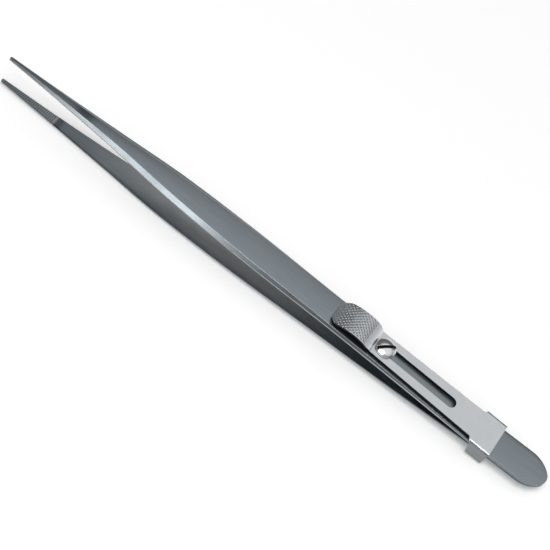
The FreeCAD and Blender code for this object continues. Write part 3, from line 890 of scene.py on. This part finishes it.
def seen_directly(tree):
    """One for rays from the camera and for mirrored and refracted rays, nought for all others."""
    path = add(tree, "ShaderNodeLightPath", {}).outputs
    mirrored = add(tree, "ShaderNodeMath", {
        0: path["Is Glossy Ray"], 1: path["Is Transmission Ray"],
    }, operation="MAXIMUM")
    seen = add(tree, "ShaderNodeMath", {
        0: path["Is Camera Ray"], 1: mirrored.outputs["Value"],
    }, operation="MAXIMUM")
    return seen.outputs["Value"]


def make_floor():
    """A wide pale floor that takes the shadow, and glows white to the camera and to mirrors."""
    mesh = bpy.data.meshes.new("floor")
    corners = np.array([(-1, -1, 0), (1, -1, 0), (1, 1, 0), (-1, 1, 0)]) * FLOOR_REACH
    mesh.from_pydata(corners, [], [(0, 1, 2, 3)])
    floor = bpy.data.objects.new("floor", mesh)
    bpy.context.scene.collection.objects.link(floor)
    material = bpy.data.materials.new("pale_floor")
    material.use_nodes = True
    tree = material.node_tree
    tree.nodes.clear()
    matte = add(tree, "ShaderNodeBsdfDiffuse", {"Color": linear("#f4f4f4")})
    level = add(tree, "ShaderNodeMath", {0: seen_directly(tree), 1: FLOOR_GLOW}, operation="MULTIPLY")
    glow = add(tree, "ShaderNodeEmission", {
        "Color": linear("#ffffff"), "Strength": level.outputs["Value"],
    })
    both = add(tree, "ShaderNodeAddShader", {0: matte.outputs["BSDF"], 1: glow.outputs["Emission"]})
    add(tree, "ShaderNodeOutputMaterial", {"Surface": both.outputs["Shader"]})
    mesh.materials.append(material)


def direction_from(azimuth, elevation):
    """Unit vector from the part towards an azimuth and an elevation."""
    turn = math.radians(azimuth)
    lift = math.radians(elevation)
    return Vector((
        math.sin(turn) * math.cos(lift), -math.cos(turn) * math.cos(lift), math.sin(lift)
    ))


def make_softbox(name, azimuth, elevation, width, watts):
    """A square softbox that looks at the part."""
    data = bpy.data.lights.new(name, "AREA")
    data.shape = "SQUARE"
    data.size = width
    data.energy = watts
    lamp = bpy.data.objects.new(name, data)
    lamp.location = SOFTBOX_DISTANCE * direction_from(azimuth, elevation)
    lamp.rotation_euler = (-lamp.location).to_track_quat("-Z", "Y").to_euler()
    bpy.context.scene.collection.objects.link(lamp)


def make_world():
    """A dim surround, a white backdrop low down, and a wide soft tent of light towards the far side."""
    world = bpy.data.worlds.new("surround")
    bpy.context.scene.world = world
    world.use_nodes = True
    tree = world.node_tree
    tree.nodes.clear()
    direction = add(tree, "ShaderNodeTexCoord", {}).outputs["Generated"]
    nearness = add(tree, "ShaderNodeVectorMath", {
        0: direction, 1: direction_from(TENT_AZIMUTH, TENT_ELEVATION),
    }, operation="DOT_PRODUCT")
    tent = add(tree, "ShaderNodeMapRange", {
        "Value": nearness.outputs["Value"], "From Min": TENT_EDGE, "From Max": TENT_FULL,
        "To Min": SURROUND_LEVEL, "To Max": TENT_LEVEL,
    }, interpolation_type="SMOOTHSTEP")
    height = add(tree, "ShaderNodeSeparateXYZ", {"Vector": direction}).outputs["Z"]
    backdrop = add(tree, "ShaderNodeMapRange", {
        "Value": height, "From Min": BACKDROP_FULL, "From Max": BACKDROP_TOP,
        "To Min": 1.0, "To Max": 0.0,
    }, interpolation_type="SMOOTHSTEP")
    shown = add(tree, "ShaderNodeMath", {
        0: backdrop.outputs["Result"], 1: seen_directly(tree),
    }, operation="MULTIPLY")
    level = add(tree, "ShaderNodeMath", {
        0: tent.outputs["Result"], 1: shown.outputs["Value"],
    }, operation="MAXIMUM")
    surround = add(tree, "ShaderNodeBackground", {
        "Color": linear("#ffffff"), "Strength": level.outputs["Value"],
    })
    add(tree, "ShaderNodeOutputWorld", {"Surface": surround.outputs["Background"]})


def make_camera():
    """The photograph's view: from above the near side, rolled so that the part runs down to the right."""
    turn = math.radians(CAMERA_AZIMUTH)
    roll = math.radians(CAMERA_ROLL)
    back = direction_from(CAMERA_AZIMUTH, CAMERA_ELEVATION)
    level = Vector((math.cos(turn), math.sin(turn), 0))
    upright = back.cross(level)
    right = math.cos(roll) * level + math.sin(roll) * upright
    above = math.cos(roll) * upright - math.sin(roll) * level
    data = bpy.data.cameras.new("camera")
    data.sensor_width = SENSOR_WIDTH
    data.lens = FOCAL_PIXELS / IMAGE_PIXELS * SENSOR_WIDTH
    data.clip_start = CLIP_START
    camera = bpy.data.objects.new("camera", data)
    place = Matrix.Translation(Vector(CAMERA_AIM) * MM + CAMERA_DISTANCE * back)
    camera.matrix_world = place @ Matrix((right, above, back)).transposed().to_4x4()
    bpy.context.scene.collection.objects.link(camera)
    bpy.context.scene.camera = camera


make_floor()
make_world()
for softbox in SOFTBOXES:
    make_softbox(*softbox)
make_camera()
bpy.context.scene.view_settings.view_transform = "Standard"
